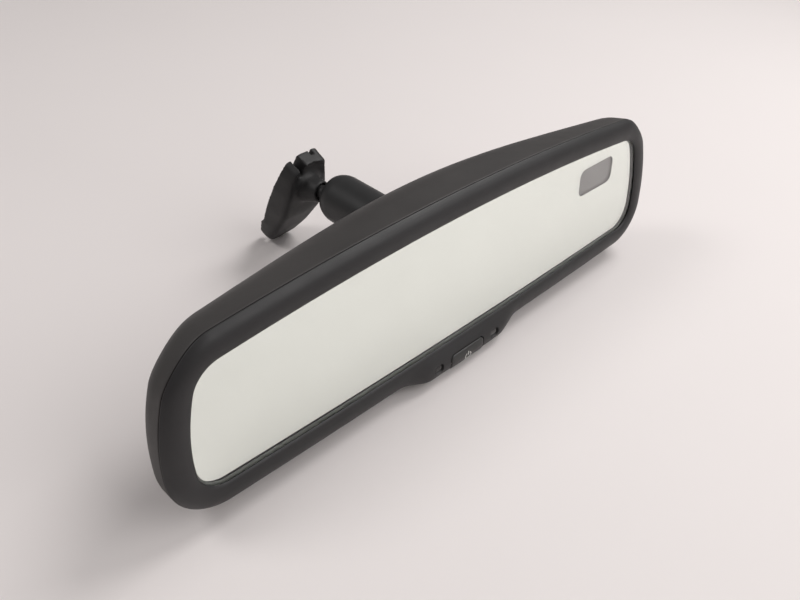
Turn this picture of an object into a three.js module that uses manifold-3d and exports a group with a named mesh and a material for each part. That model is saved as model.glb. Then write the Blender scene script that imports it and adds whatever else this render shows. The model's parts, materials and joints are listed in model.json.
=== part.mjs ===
// Interior rearview mirror: dimming glass in a two-part casing, carried by a double-ball
// arm from a cast foot that slides onto a button on the windshield.
// Millimetres, +Z up. The glass faces -Y and X runs along its width.
// Pieces are laid out about the middle of the opening, with Y measured from the plane where
// bezel and casing part. The exported group leans them back and moves the origin to the foot's
// mounting face.
import * as THREE from "three";
import { mergeVertices } from "three/addons/utils/BufferGeometryUtils.js";
import Module from "manifold-3d";

const wasm = await Module();
wasm.setup();

const { degToRad, clamp } = THREE.MathUtils;

// ---------------------------------------------------------------- driving dimensions
const GAP = 0.3; // between pieces that touch on the real object
const LEAN = degToRad(8.3); // of the head at rest
const ROUND = 24; // sides of the pieces that turn in each other

// The opening that the bezel leaves for the glass: four bowed sides and round corners.
const TOP_HALF_WIDTH = 115;
const OPENING_HEIGHT = 46.3;
const FLARE = 6.5; // how much further out the bottom corners lie than the top ones
const TOP_BOW = 5.9;
const BOTTOM_BOW = 2;
const SIDE_BOW = 3.5;
const TOP_CORNER_RADIUS = 12.3;
const BOTTOM_CORNER_RADIUS = 10.4;

// The chin under the middle of the glass, which holds the button and two windows.
const CHIN_DROP = 4.1;
const CHIN_BULGE = 2.4;
const CHIN_FLAT = 20;
const CHIN_BLEND = 16;

// Casing: offsets from the opening's outline, and depths behind the parting plane.
const CASING_OFFSET = 9.5;
const CORNER_TRIM = 0.15; // share of an offset that the upper corners lose
const WALL = 2;
const GLASS_FRONT = -1.8;
const GLASS_OVERLAP = 2.2;
const GLASS_THICKNESS = 2;
const GEL_THICKNESS = 0.9;
const BOARD_FRONT = 8.8;
const BOARD_THICKNESS = 1.6;
const PLATE_FRONT = 12.6;
const PLATE_THICKNESS = 2;
const SHOULDER = { middle: 11, ends: 5 }; // where the casing starts to close in
const CASING_DEPTH = 38;
const END_DEPTH = 27;
const END_DRAFT = 0.45; // how steeply the top closes in at the ends

const DISPLAY = { x: 89, z: 12.8, width: 25.2, height: 12.6 };
const BUTTON = { width: 19.5, top: -30.9, stemZ: -33.2 };
const WINDOW = { x: 17, z: -32, radius: 2.1 };
const AMBIENT = { x: -34, z: 8, radius: 4 };
const CONNECTOR = { x: 45, z: 2, width: 22, height: 10, back: 25 };
const PIN_COUNT = 5;
const PIN_PITCH = 3.6;
const SCREW_X = 19;
const SCREW_Z = [-12, 22];

// Double-ball arm.
const HEAD_BALL = new THREE.Vector3(0, 26.5, 6.5);
const FOOT_BALL = new THREE.Vector3(0, 67.8, 10.2);
const BALL = 7;
const NECK = 3;
const SEAT_INNER = 7.35;
const SEAT_OUTER = 8.2;
const BORE = 8.6;
const TUBE = 10.8;
const MOUTH = 5.3; // from a ball's centre to the plane of the tube's mouth
const SPRING_SEAT = 8.7; // from a ball's centre to its spring washer
const WASHER = 1.2;

// Foot, about its ball: +Y is the mounting face's outward normal and -Z runs to the tip.
const FOOT_TILT = degToRad(29);
const FOOT_TURN = degToRad(6.5);
const FOOT_FACE = 28.5;
const FOOT_TOP = 2.5;
const FOOT_TIP = -52.6;
const TOE = { top: -40, rise: 1.2 }; // the tip stands proud of the mounting face
const CHANNEL = { top: -18, mouth: 9, width: 12.6, lip: 1.3, depth: 3.4 };
const MOUNT_Z = -11; // the origin, on the face between the slots and the channel

// ---------------------------------------------------------------- materials
const finish = (color, roughness, metalness = 0) =>
  new THREE.MeshStandardMaterial({ color, roughness, metalness });
const MATERIAL = {
  casing: finish(0x2b292a, 0.62),
  bezel: finish(0x252426, 0.45),
  clearGlass: finish(0xdfe6e0, 0.05),
  mirror: finish(0xd9ddd6, 0.03, 1),
  seal: finish(0x3a3a38, 0.7),
  smoked: finish(0x8f8689, 0.15),
  darkLens: finish(0x0c0b0c, 0.1),
  foam: finish(0x1d1d1d, 0.95),
  board: finish(0x1f5a3a, 0.5),
  chip: finish(0x151515, 0.4),
  tin: finish(0xc8c4b8, 0.3, 1),
  steel: finish(0x8d8f92, 0.35, 1),
  zinc: finish(0x1e1e20, 0.55),
  nylon: finish(0xd8d5cc, 0.5),
};

// ---------------------------------------------------------------- solids
const solidOf = (geometry, matrix = new THREE.Matrix4()) => {
  const bare = geometry.clone().applyMatrix4(matrix);
  for (const name of ["normal", "uv"]) bare.deleteAttribute(name);
  const merged = mergeVertices(bare, 1e-4);
  return new wasm.Manifold(
    new wasm.Mesh({
      numProp: 3,
      vertProperties: new Float32Array(merged.attributes.position.array),
      triVerts: new Uint32Array(merged.index.array),
    }),
  );
};

const geometryOf = (solid) => {
  const mesh = solid.getMesh();
  return new THREE.BufferGeometry()
    .setAttribute("position", new THREE.BufferAttribute(mesh.vertProperties, mesh.numProp))
    .setIndex(new THREE.BufferAttribute(mesh.triVerts, 1));
};

const at = (x, y, z) => new THREE.Matrix4().makeTranslation(x, y, z);

// A box between two depths, centred on x and z.
const block = (width, height, front, back, x = 0, z = 0) =>
  solidOf(new THREE.BoxGeometry(width, back - front, height), at(x, (front + back) / 2, z));

// A round bar or cone along Y between two depths.
const bar = (radius, front, back, x = 0, z = 0, sides = 16, backRadius = radius) =>
  solidOf(
    new THREE.CylinderGeometry(backRadius, radius, back - front, sides),
    at(x, (front + back) / 2, z),
  );

// A profile of [radius, depth] pairs, listed towards +Y on its outside, turned about Y.
const turned = (profile, sides = ROUND) =>
  solidOf(new THREE.LatheGeometry(profile.map((p) => new THREE.Vector2(...p)), sides));

// An outline of [y, z] pairs, drawn as a prism that is centred on X.
const prism = (outline, width) => {
  const shape = new THREE.Shape(outline.map(([y, z]) => new THREE.Vector2(y, z)));
  const geometry = new THREE.ExtrudeGeometry(shape, { depth: width, bevelEnabled: false });
  const axes = [[0, 1, 0], [0, 0, 1], [1, 0, 0]].map((axis) => new THREE.Vector3(...axis));
  return solidOf(geometry, at(-width / 2, 0, 0).multiply(new THREE.Matrix4().makeBasis(...axes)));
};

// Rings of points, each joined to the next. An open stack is capped at both ends.
const skinned = (rings, closed = false) => {
  const count = rings[0].length;
  const faces = [];
  for (let r = 0; r < (closed ? rings.length : rings.length - 1); r++)
    for (let i = 0; i < count; i++) {
      const next = (i + 1) % count;
      const here = r * count;
      const there = ((r + 1) % rings.length) * count;
      faces.push(here + i, here + next, there + i, here + next, there + next, there + i);
    }
  const cap = (start, ring, turn) => {
    const flat = ring.map(({ x, z }) => new THREE.Vector2(x, z));
    for (const corners of THREE.ShapeUtils.triangulateShape(flat, [])) {
      const face = corners.map((k) => start + k);
      faces.push(...(turn ? face.reverse() : face));
    }
  };
  if (!closed) {
    cap(0, rings[0], false);
    cap((rings.length - 1) * count, rings[rings.length - 1], true);
  }
  const geometry = new THREE.BufferGeometry().setFromPoints(rings.flat()).setIndex(faces);
  return solidOf(geometry);
};

// ---------------------------------------------------------------- the outline
const bowRadius = (halfChord, bow) => (halfChord ** 2 + bow ** 2) / (2 * bow);

// Where two circles meet, on the side nearer to a point.
const meeting = (a, radiusA, b, radiusB, near) => {
  const along = b.clone().sub(a);
  const distance = along.length();
  const x = (distance ** 2 + radiusA ** 2 - radiusB ** 2) / (2 * distance);
  const foot = along.clone().setLength(x).add(a);
  const side = new THREE.Vector2(-along.y, along.x).setLength(Math.sqrt(radiusA ** 2 - x ** 2));
  const [one, other] = [foot.clone().add(side), foot.clone().sub(side)];
  return one.distanceTo(near) < other.distanceTo(near) ? one : other;
};

const direction = (from, to) => Math.atan2(to.y - from.y, to.x - from.x);

// The right half of the outline, from the middle of the top to the middle of the bottom,
// as places on its arcs. An offset only changes an arc's radius.
const halfOutline = () => {
  const up = OPENING_HEIGHT / 2;
  const topCorner = new THREE.Vector2(TOP_HALF_WIDTH, up);
  const bottomCorner = new THREE.Vector2(TOP_HALF_WIDTH + FLARE, -up);
  const topRadius = bowRadius(topCorner.x, TOP_BOW);
  const bottomRadius = bowRadius(bottomCorner.x, BOTTOM_BOW);
  const chord = bottomCorner.clone().sub(topCorner);
  const sideRadius = bowRadius(chord.length() / 2, SIDE_BOW);
  const top = new THREE.Vector2(0, up + TOP_BOW - topRadius);
  const bottom = new THREE.Vector2(0, bottomRadius - up - BOTTOM_BOW);
  const inward = new THREE.Vector2(chord.y, -chord.x).setLength(sideRadius - SIDE_BOW);
  const side = topCorner.clone().add(bottomCorner).multiplyScalar(0.5).add(inward);
  const inside = (radius, fillet) => radius - fillet;
  const upper = meeting(top, inside(topRadius, TOP_CORNER_RADIUS),
    side, inside(sideRadius, TOP_CORNER_RADIUS), topCorner);
  const lower = meeting(bottom, inside(bottomRadius, BOTTOM_CORNER_RADIUS),
    side, inside(sideRadius, BOTTOM_CORNER_RADIUS), bottomCorner);
  const down = -Math.PI / 2;
  const chinStart = down + (CHIN_FLAT + CHIN_BLEND) / bottomRadius;
  const flatStart = down + CHIN_FLAT / bottomRadius;
  const arcs = [
    [top, topRadius, Math.PI / 2, direction(top, upper), 6],
    [upper, TOP_CORNER_RADIUS, direction(top, upper), direction(side, upper), 4],
    [side, sideRadius, direction(side, upper), direction(side, lower), 3],
    [lower, BOTTOM_CORNER_RADIUS, direction(side, lower), direction(bottom, lower), 4],
    [bottom, bottomRadius, direction(bottom, lower), chinStart, 2],
    [bottom, bottomRadius, chinStart, flatStart, 4],
    [bottom, bottomRadius, flatStart, down, 2],
  ];
  const places = arcs.flatMap(([centre, radius, from, to, steps]) =>
    Array.from({ length: steps }, (_, i) => (
      { centre, radius, angle: from + ((to - from) * i) / steps })));
  return [...places, { centre: bottom, radius: bottomRadius, angle: down }];
};
const PLACES = halfOutline();

// The whole outline at an offset, once round.
const outline = (offset) => {
  const right = PLACES.map(({ centre, radius, angle }) => {
    const corner = clamp(Math.sin(2 * angle), 0, 1) ** 2;
    const reach = radius + offset * (1 - CORNER_TRIM * corner);
    return new THREE.Vector2(
      centre.x + reach * Math.cos(angle), centre.y + reach * Math.sin(angle));
  });
  right[0].x = 0;
  right[right.length - 1].x = 0;
  const left = right.slice(1, -1).reverse().map(({ x, y }) => new THREE.Vector2(-x, y));
  return [...right, ...left];
};

// The chin's share at a point of the outline: 1 under the middle, 0 beyond its flanks.
const chinShare = (x, z) => (z > 0 ? 0 : THREE.MathUtils.smoothstep(
  CHIN_FLAT + CHIN_BLEND - Math.abs(x), 0, CHIN_BLEND));

// A ring at an offset and a depth, pulled down and forward by shares of the chin.
const ring = (offset, depth, drop = 0, bulge = 0) =>
  outline(offset).map(({ x, y }) => {
    const share = chinShare(x, y);
    return new THREE.Vector3(
      x, depth - share * bulge * CHIN_BULGE, y - share * drop * CHIN_DROP);
  });

const plate = (offset, front, back) => skinned([ring(offset, front), ring(offset, back)]);

// ---------------------------------------------------------------- bezel and button
// The bezel's section as [offset, depth, drop, bulge]: its visible roll, then its inside.
const BEZEL_SECTION = [
  [0, GLASS_FRONT - GAP, 0, 0], [0.15, -2.4, 0, 0], [0.8, -2.85, 0, 0], [1.8, -3.2, 0, 0.05],
  [3.5, -3.4, 0.1, 0.4], [5.3, -3.2, 0.5, 0.9], [7, -2.7, 0.85, 1], [8.3, -1.9, 1, 0.9],
  [9.2, -0.9, 1, 0.4], [9.5, -0.15, 1, 0], [6.9, -0.15, 1, 0], [6.6, 1.6, 1, 0],
  [6, 1.6, 1, 0], [6, -0.5, 0.85, 0.8], [4.6, -1.4, 0.3, 0.8], [2.7, -1.4, 0, 0.2],
  [2.6, GLASS_FRONT - GAP, 0, 0],
];

// The button's side view, grown all round by an amount.
const buttonSide = (grow, sink) => [
  [-5.5 - grow, BUTTON.top + grow], [-5.8 - grow, -33], [-5.4 - grow, -36.2],
  [-4.3 - grow, -38.3 - grow], [-1.6, -39.3 - grow], [-0.9 + sink, -39.4 - grow],
  [-0.9 + sink, BUTTON.top + grow],
];
const buttonBody = () =>
  prism(buttonSide(0, 0), BUTTON.width).add(block(4, 2.4, -1.2, 3.4, 0, BUTTON.stemZ));
const buttonHole = () => prism(buttonSide(0.4, 2.4), BUTTON.width + 0.8);

const bezel = () =>
  [-1, 1].reduce(
    (body, side) => body.subtract(bar(WINDOW.radius, -9, 3, side * WINDOW.x, WINDOW.z, 14)),
    skinned(BEZEL_SECTION.map((point) => ring(...point)), true).subtract(buttonHole()));

const lightPipe = (side) =>
  bar(WINDOW.radius - GAP, -4.7, BOARD_FRONT - 1.9, side * WINDOW.x, WINDOW.z, 12);

// ---------------------------------------------------------------- rear casing
// A ring of the casing, at an angle along the curve that closes it in towards the back.
const casingRing = (inset, turn) => {
  const across = Math.cos(turn) ** 0.5;
  const upright = Math.cos(turn);
  const back = Math.sin(turn);
  return outline(CASING_OFFSET - inset).map(({ x, y }) => {
    const drop = CHIN_DROP * chinShare(x, y) * (1 - back) ** 1.5;
    const run = (Math.abs(x) / (TOP_HALF_WIDTH + FLARE + CASING_OFFSET)) ** 2;
    const shoulder = THREE.MathUtils.lerp(SHOULDER.middle, SHOULDER.ends, run);
    const deepest = THREE.MathUtils.lerp(CASING_DEPTH, END_DEPTH, run * across ** 2) - inset;
    const reach = shoulder + (deepest - shoulder) * back;
    const draft = END_DRAFT * run * (1 - 0.75 * run) * reach
      * THREE.MathUtils.smoothstep(y, 5, 32);
    return new THREE.Vector3(x * across, reach, 2 + (y - drop - draft - 2) * upright);
  });
};
const casingRings = (inset, front) => [
  ring(CASING_OFFSET - inset, front, 1, 0),
  ...[0, 18, 34, 48, 60, 70, 78].map((angle) => casingRing(inset, degToRad(angle))),
];

// The funnel that the arm tilts in, as [radius, depth].
const FUNNEL = [[12.8, 22], [12.8, 26.5], [20.6, 46]];
const funnel = (grow, front) => {
  const [[r0], [r1, y1], [r2, y2]] = FUNNEL;
  return turned([[0, front], [r0 + grow, front], [r1 + grow, y1], [r2 + grow, y2], [0, y2]])
    .translate([0, 0, HEAD_BALL.z]);
};

const screwSpots = SCREW_Z.flatMap((z) => [[-SCREW_X, z], [SCREW_X, z]]);
const BOSS_FRONT = PLATE_FRONT + PLATE_THICKNESS + GAP;

const rearCasing = () => {
  const outside = skinned(casingRings(0, 0.15));
  const hollow = skinned(casingRings(WALL, -1));
  const { x, z, width, height } = CONNECTOR;
  const fittings = [
    funnel(1.7, FUNNEL[0][1]),
    block(width + 4.4, height + 4.4, 18, 46, x, z),
    bar(AMBIENT.radius + 2, 24, 46, AMBIENT.x, AMBIENT.z),
    ...screwSpots.map(([sx, sz]) => bar(3.4, BOSS_FRONT, 46, sx, sz, 12)),
  ].reduce((sum, piece) => sum.add(piece));
  return [
    funnel(0, 10),
    block(width + 1.2, height + 1.2, 10, 50, x, z),
    bar(AMBIENT.radius + 0.2, 10, 50, AMBIENT.x, AMBIENT.z),
    ...screwSpots.map(([sx, sz]) => bar(1.6, 10, BOSS_FRONT + 8.5, sx, sz, 10)),
  ].reduce((body, cut) => body.subtract(cut),
    outside.subtract(hollow).add(fittings.intersect(outside)));
};

// ---------------------------------------------------------------- glass and its backing
const GLASS_BACK = GLASS_FRONT + GLASS_THICKNESS;
const REAR_GLASS_FRONT = GLASS_BACK + GEL_THICKNESS;
const REAR_GLASS_BACK = REAR_GLASS_FRONT + 1.6;
const PAD_BACK = REAR_GLASS_BACK + GAP + 0.6;
const CARRIER_FRONT = PAD_BACK + GAP;
const CARRIER_BACK = CARRIER_FRONT + 2.4;

const displayCut = (margin, front, back) => block(
  DISPLAY.width + margin, DISPLAY.height + margin, front - 1, back + 1, DISPLAY.x, DISPLAY.z);

const gelSeal = () =>
  plate(GLASS_OVERLAP - 0.6, GLASS_BACK + GAP, REAR_GLASS_FRONT - GAP)
    .subtract(plate(-0.4, GLASS_BACK, REAR_GLASS_FRONT));

const adhesivePad = () =>
  plate(-3.6, REAR_GLASS_BACK + GAP, PAD_BACK).subtract(displayCut(4, REAR_GLASS_BACK, PAD_BACK));

const carrierPlate = () =>
  [-84, -42, 0, 42].reduce(
    (body, x) => body.subtract(block(26, 16, CARRIER_FRONT - 1, CARRIER_BACK + 1, x, 0)),
    plate(1.4, CARRIER_FRONT, CARRIER_BACK).subtract(displayCut(8, CARRIER_FRONT, CARRIER_BACK)));

// A bus clip hooks behind the gel's rim along one long edge of the rear glass.
const busClip = (side) => {
  const edge = side > 0 ? 31.1 : -27.4;
  const inner = edge - side * 3.4;
  return block(60, 0.5, REAR_GLASS_FRONT, REAR_GLASS_BACK + GAP + 0.3, -30, edge)
    .add(block(60, Math.abs(edge - inner) + 0.5, REAR_GLASS_BACK + GAP,
      REAR_GLASS_BACK + GAP + 0.3, -30, (edge + inner) / 2));
};

// ---------------------------------------------------------------- electronics
const BOARD_BACK = BOARD_FRONT + BOARD_THICKNESS;
const BEHIND_BOARD = BOARD_BACK + GAP;
const BEFORE_BOARD = BOARD_FRONT - GAP;

const circuitBoard = () =>
  block(190, 40, BOARD_FRONT, BOARD_BACK, 12, 2)
    .add(block(46, 18, BOARD_FRONT, BOARD_BACK, 0, -25.4));

const connectorHeader = () => {
  const { x, z, width, height, back } = CONNECTOR;
  return block(width, height, BEHIND_BOARD, back, x, z)
    .subtract(block(width - 2.6, height - 2.6, BEHIND_BOARD + 3, back + 1, x, z));
};
const connectorPin = (index) => block(0.8, 0.8, BEHIND_BOARD + 3 + GAP, CONNECTOR.back - 2,
  CONNECTOR.x + (index - (PIN_COUNT - 1) / 2) * PIN_PITCH, CONNECTOR.z);

// ---------------------------------------------------------------- ball joints
// Points on an arc about the turning axis, by angle from +Y, as [radius, depth].
const arc = (radius, from, to, steps, centre = 0) =>
  Array.from({ length: steps + 1 }, (_, i) => {
    const angle = degToRad(from + ((to - from) * i) / steps);
    return [radius * Math.sin(angle), centre + radius * Math.cos(angle)];
  });

const NECK_ANGLE = Math.asin(NECK / BALL) * THREE.MathUtils.RAD2DEG;

// A ball at the origin with its neck along +Y, which runs into the tail that is given.
const ballStud = (tail) => turned([
  [0, -BALL], ...arc(BALL, 180, NECK_ANGLE, 9).slice(1), ...tail, [0, tail[tail.length - 1][1]],
]);

// A band of spherical seat about the origin, between two angles from +Y.
const seat = (from, to, steps) => {
  const band = [...arc(SEAT_OUTER, to, from, steps), ...arc(SEAT_INNER, from, to, steps)];
  return turned([...band, band[0]]);
};
const SEAT_RING = [56, 77, 2];
const SEAT_CUP = [98, 152, 4];

const armLength = HEAD_BALL.distanceTo(FOOT_BALL);

// The tube, from the head's ball at the origin to the foot's ball up the Y axis.
const armTube = () => {
  const rim = Math.acos(MOUTH / TUBE) * THREE.MathUtils.RAD2DEG;
  const mouth = Math.acos(MOUTH / BORE) * THREE.MathUtils.RAD2DEG;
  const profile = [
    ...arc(TUBE, 180 - rim, 90, 4),
    ...arc(TUBE, 90, rim, 4, armLength),
    ...arc(BORE, mouth, 90, 4, armLength),
    ...arc(BORE, 90, 180 - mouth, 4),
  ];
  return turned([...profile, profile[0]]);
};

const washer = (depth) => {
  const profile = [[4, depth], [8.1, depth], [8.1, depth + WASHER], [4, depth + WASHER]];
  return turned([...profile, profile[0]]);
};

class Helix extends THREE.Curve {
  constructor(radius, turns, start, end) {
    super();
    Object.assign(this, { radius, turns, start, end });
  }
  getPoint(t, target = new THREE.Vector3()) {
    const angle = 2 * Math.PI * this.turns * t;
    return target.set(this.radius * Math.cos(angle),
      THREE.MathUtils.lerp(this.start, this.end, t), this.radius * Math.sin(angle));
  }
}

const polygon = (radius, sides) => new THREE.Shape(Array.from({ length: sides }, (_, i) => {
  const angle = (2 * Math.PI * i) / sides;
  return new THREE.Vector2(radius * Math.cos(angle), radius * Math.sin(angle));
}));

const armSpring = () => {
  const wire = 0.9;
  const start = SPRING_SEAT + WASHER + GAP + wire + 0.2;
  const turns = 5;
  const path = new Helix(6.4, turns, start, armLength - start);
  return solidOf(new THREE.ExtrudeGeometry(polygon(wire, 6),
    { steps: turns * 14, extrudePath: path, bevelEnabled: false }));
};

// ---------------------------------------------------------------- head hardware
const pivotPlate = () =>
  screwSpots.reduce(
    (body, [x, z]) => body.subtract(bar(1.9, 0, 30, x, z, 12)),
    block(46, 42, PLATE_FRONT, PLATE_FRONT + PLATE_THICKNESS, 0, (SCREW_Z[0] + SCREW_Z[1]) / 2)
      .subtract(bar(NECK + GAP, 0, 30, 0, HEAD_BALL.z)));

// The head's ball and neck, with a riveted head in front of the pivot plate.
const headStud = () => {
  const plateBack = HEAD_BALL.y - PLATE_FRONT - PLATE_THICKNESS - GAP;
  const plateFront = HEAD_BALL.y - PLATE_FRONT + GAP;
  return ballStud([
    [NECK, plateBack - 1.4], [5.5, plateBack - 1.4], [5.5, plateBack], [NECK, plateBack],
    [NECK, plateFront], [4.6, plateFront], [3.6, plateFront + 1.2],
  ]);
};

const plateScrew = ([x, z]) =>
  bar(3, PLATE_FRONT - GAP - 1.6, PLATE_FRONT - GAP, x, z, 12)
    .add(bar(1.3, PLATE_FRONT - GAP - 0.2, BOSS_FRONT + 7, x, z, 8));

// ---------------------------------------------------------------- foot
const STUD_TURN = new THREE.Matrix4().makeRotationX(-FOOT_TILT);
const STUD_SOCKET = { back: 24.5, radius: 3.6 };

const footStud = () => {
  const { back, radius } = STUD_SOCKET;
  return ballStud([[NECK, 13.5], [radius, 14.5], [radius, back]]);
};

// The foot from its side, as [y, z]: thickest below the neck and thin at the tip.
const FOOT_SIDE = [
  [FOOT_FACE, 8], [20.4, 8], [19.8, -5], [17.6, -13], [16.6, -25], [19.2, -39],
  [21.8, -48], [24, FOOT_TIP + 1], [25.2, FOOT_TIP], [FOOT_FACE + TOE.rise - 1, FOOT_TIP],
  [FOOT_FACE + TOE.rise, FOOT_TIP + 1.5], [FOOT_FACE + TOE.rise, TOE.top], [FOOT_FACE, TOE.top + 3],
];

// The foot from its front, as a loop of [x, z]. Its left prong is cut lower.
const footFront = () => {
  const right = [[8.4, 1.8], [10.7, -5.1], [12.2, -14], [12.3, -25], [11, -38], [8.8, -47],
    [6.6, -50.6], [3.6, FOOT_TIP + 0.4]];
  const left = right.slice(1).reverse().map(([x, z]) => [-x, z]);
  return [[7, FOOT_TOP], ...right, [0, FOOT_TIP], ...left, [-9.2, -0.6], [-4, FOOT_TOP]];
};

// A prism of a loop of [x, z] between two depths.
const slab = (loop, front, back) => {
  const rings = [front, back].map((y) => loop.map(([x, z]) => new THREE.Vector3(x, y, z)));
  return skinned(rings);
};

const notch = (x, topWidth, rootWidth, depth, front) => slab([
  [x - topWidth / 2, 9], [x + topWidth / 2, 9],
  [x + rootWidth / 2, FOOT_TOP - depth], [x - rootWidth / 2, FOOT_TOP - depth],
], front, 40);

// The boss round the stud's neck, in the stud's own direction.
const footBoss = () =>
  bar(4.7, 12.8, 24, 0, 0, 20, 7.6).transform(STUD_TURN.elements);

const footCasting = () => {
  const { top, mouth, width, lip, depth } = CHANNEL;
  const height = top - FOOT_TIP + 4;
  const middle = top - height / 2;
  const socket = bar(STUD_SOCKET.radius + GAP, 10, STUD_SOCKET.back + GAP, 0, 0, ROUND);
  return [
    notch(-5, 4.8, 2.6, 6.5, 0),
    notch(4.2, 2.6, 1.4, 5, 25.6),
    block(mouth, height, FOOT_FACE - lip - 0.1, FOOT_FACE + 2, 0, middle),
    block(width, height, FOOT_FACE - depth, FOOT_FACE - lip, 0, middle),
    block(6, 12, FOOT_FACE - depth - 0.9, FOOT_FACE - depth + 0.1, 0, top - 10),
    socket.transform(STUD_TURN.elements),
  ].reduce((body, cut) => body.subtract(cut),
    prism(FOOT_SIDE, 40).intersect(slab(footFront(), 5, 40)).add(footBoss()));
};

// A leaf that presses on the windshield button, bowed out of its pocket in the channel.
const retentionSpring = () => {
  const pocket = FOOT_FACE - CHANNEL.depth - 0.9 + GAP;
  const [high, low] = [CHANNEL.top - 4.5, CHANNEL.top - 15.5];
  const middle = (high + low) / 2;
  return prism([
    [pocket, high], [pocket + 1.6, middle + 1], [pocket + 1.6, middle - 1], [pocket, low],
    [pocket + 0.5, low], [pocket + 2.1, middle - 1], [pocket + 2.1, middle + 1],
    [pocket + 0.5, high],
  ], 5);
};

// ---------------------------------------------------------------- assembly
const named = (name, solid, material) => {
  const mesh = new THREE.Mesh(geometryOf(solid), material);
  mesh.name = name;
  return mesh;
};

const head = () => {
  const group = new THREE.Group();
  const add = (...piece) => group.add(named(...piece));
  add("bezel", bezel(), MATERIAL.bezel);
  add("rear_casing", rearCasing(), MATERIAL.casing);
  add("power_button", buttonBody(), MATERIAL.bezel);
  add("front_glass", plate(GLASS_OVERLAP, GLASS_FRONT, GLASS_BACK), MATERIAL.clearGlass);
  add("gel_seal", gelSeal(), MATERIAL.seal);
  add("rear_glass", plate(GLASS_OVERLAP - 1, REAR_GLASS_FRONT, REAR_GLASS_BACK), MATERIAL.mirror);
  add("bus_clip_upper", busClip(1), MATERIAL.tin);
  add("bus_clip_lower", busClip(-1), MATERIAL.tin);
  add("adhesive_pad", adhesivePad(), MATERIAL.foam);
  add("carrier_plate", carrierPlate(), MATERIAL.casing);
  add("display_mask", displayCut(2, REAR_GLASS_BACK + 1 + GAP, REAR_GLASS_BACK - 0.4),
    MATERIAL.smoked);
  add("display_module", displayCut(0, REAR_GLASS_BACK + 1.9 + GAP, BEFORE_BOARD - 1),
    MATERIAL.chip);
  add("circuit_board", circuitBoard(), MATERIAL.board);
  add("controller_chip", block(10, 10, BEHIND_BOARD, BEHIND_BOARD + 1.6, -52, 6), MATERIAL.chip);
  add("compass_sensor", block(8, 8, BEHIND_BOARD, BEHIND_BOARD + 2.2, 84, 8), MATERIAL.chip);
  add("glass_driver", block(9, 6.5, BEHIND_BOARD, BEHIND_BOARD + 2.3, -68, -6), MATERIAL.chip);
  add("inductor", bar(4.5, BEHIND_BOARD, BEHIND_BOARD + 5, 70, -6), MATERIAL.chip);
  for (const [index, x] of [-50, -40].entries())
    add(`capacitor_${index + 1}`, bar(3.2, BEHIND_BOARD, BEHIND_BOARD + 8, x, -9), MATERIAL.tin);
  add("connector_header", connectorHeader(), MATERIAL.nylon);
  for (let index = 0; index < PIN_COUNT; index++)
    add(`connector_pin_${index + 1}`, connectorPin(index), MATERIAL.tin);
  add("ambient_sensor", block(5, 5, BEHIND_BOARD, BEHIND_BOARD + 3, AMBIENT.x, AMBIENT.z),
    MATERIAL.chip);
  add("ambient_lens", bar(AMBIENT.radius - 0.2, BEHIND_BOARD + 3.5, 34.5, AMBIENT.x, AMBIENT.z),
    MATERIAL.darkLens);
  for (const [side, window, device] of [
    [-1, "indicator_pipe", "indicator_led"], [1, "glare_window", "glare_sensor"]]) {
    add(window, lightPipe(side), side < 0 ? MATERIAL.smoked : MATERIAL.darkLens);
    add(device, block(3.4, 3.2, BEFORE_BOARD - 1.2, BEFORE_BOARD, side * WINDOW.x, WINDOW.z),
      MATERIAL.chip);
  }
  add("button_switch",
    block(6, 6, BEFORE_BOARD - 3.2, BEFORE_BOARD, 0, -31.2)
      .add(bar(1.6, 4.5, BEFORE_BOARD - 3, 0, BUTTON.stemZ, 12)), MATERIAL.chip);
  add("pivot_plate", pivotPlate(), MATERIAL.steel);
  for (const [index, spot] of screwSpots.entries())
    add(`pivot_screw_${index + 1}`, plateScrew(spot), MATERIAL.steel);
  const stud = named("head_ball_stud", headStud(), MATERIAL.steel);
  stud.position.copy(HEAD_BALL);
  stud.rotation.x = Math.PI;
  return group.add(stud);
};

const arm = () => {
  const group = new THREE.Group();
  const add = (...piece) => group.add(named(...piece));
  const fromFoot = (solid) => solid.translate([0, armLength, 0]);
  const flip = (solid) => solid.rotate([180, 0, 0]);
  add("arm_tube", armTube(), MATERIAL.casing);
  add("head_seat_ring", flip(seat(...SEAT_RING)), MATERIAL.nylon);
  add("head_seat_cup", flip(seat(...SEAT_CUP)), MATERIAL.nylon);
  add("head_spring_washer", washer(SPRING_SEAT), MATERIAL.steel);
  add("arm_spring", armSpring(), MATERIAL.steel);
  add("foot_spring_washer", washer(armLength - SPRING_SEAT - WASHER), MATERIAL.steel);
  add("foot_seat_cup", fromFoot(seat(...SEAT_CUP)), MATERIAL.nylon);
  add("foot_seat_ring", fromFoot(seat(...SEAT_RING)), MATERIAL.nylon);
  group.position.copy(HEAD_BALL);
  const along = FOOT_BALL.clone().sub(HEAD_BALL).normalize();
  group.quaternion.setFromUnitVectors(new THREE.Vector3(0, 1, 0), along);
  return group;
};

const foot = () => {
  const group = new THREE.Group();
  const stud = named("foot_ball_stud", footStud(), MATERIAL.steel);
  stud.applyMatrix4(STUD_TURN);
  group.add(named("mount_foot", footCasting(), MATERIAL.zinc), stud);
  group.add(named("retention_spring", retentionSpring(), MATERIAL.steel));
  group.position.copy(FOOT_BALL);
  group.rotation.set(FOOT_TILT, 0, FOOT_TURN, "ZXY");
  return group;
};

const mirror = new THREE.Group();
mirror.add(head(), arm(), foot());
mirror.rotation.x = -LEAN;
const mount = new THREE.Vector3(0, FOOT_FACE, MOUNT_Z)
  .applyEuler(new THREE.Euler(FOOT_TILT, 0, FOOT_TURN, "ZXY"))
  .add(FOOT_BALL)
  .applyEuler(mirror.rotation);
mirror.position.copy(mount.negate());

export default mirror;
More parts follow.
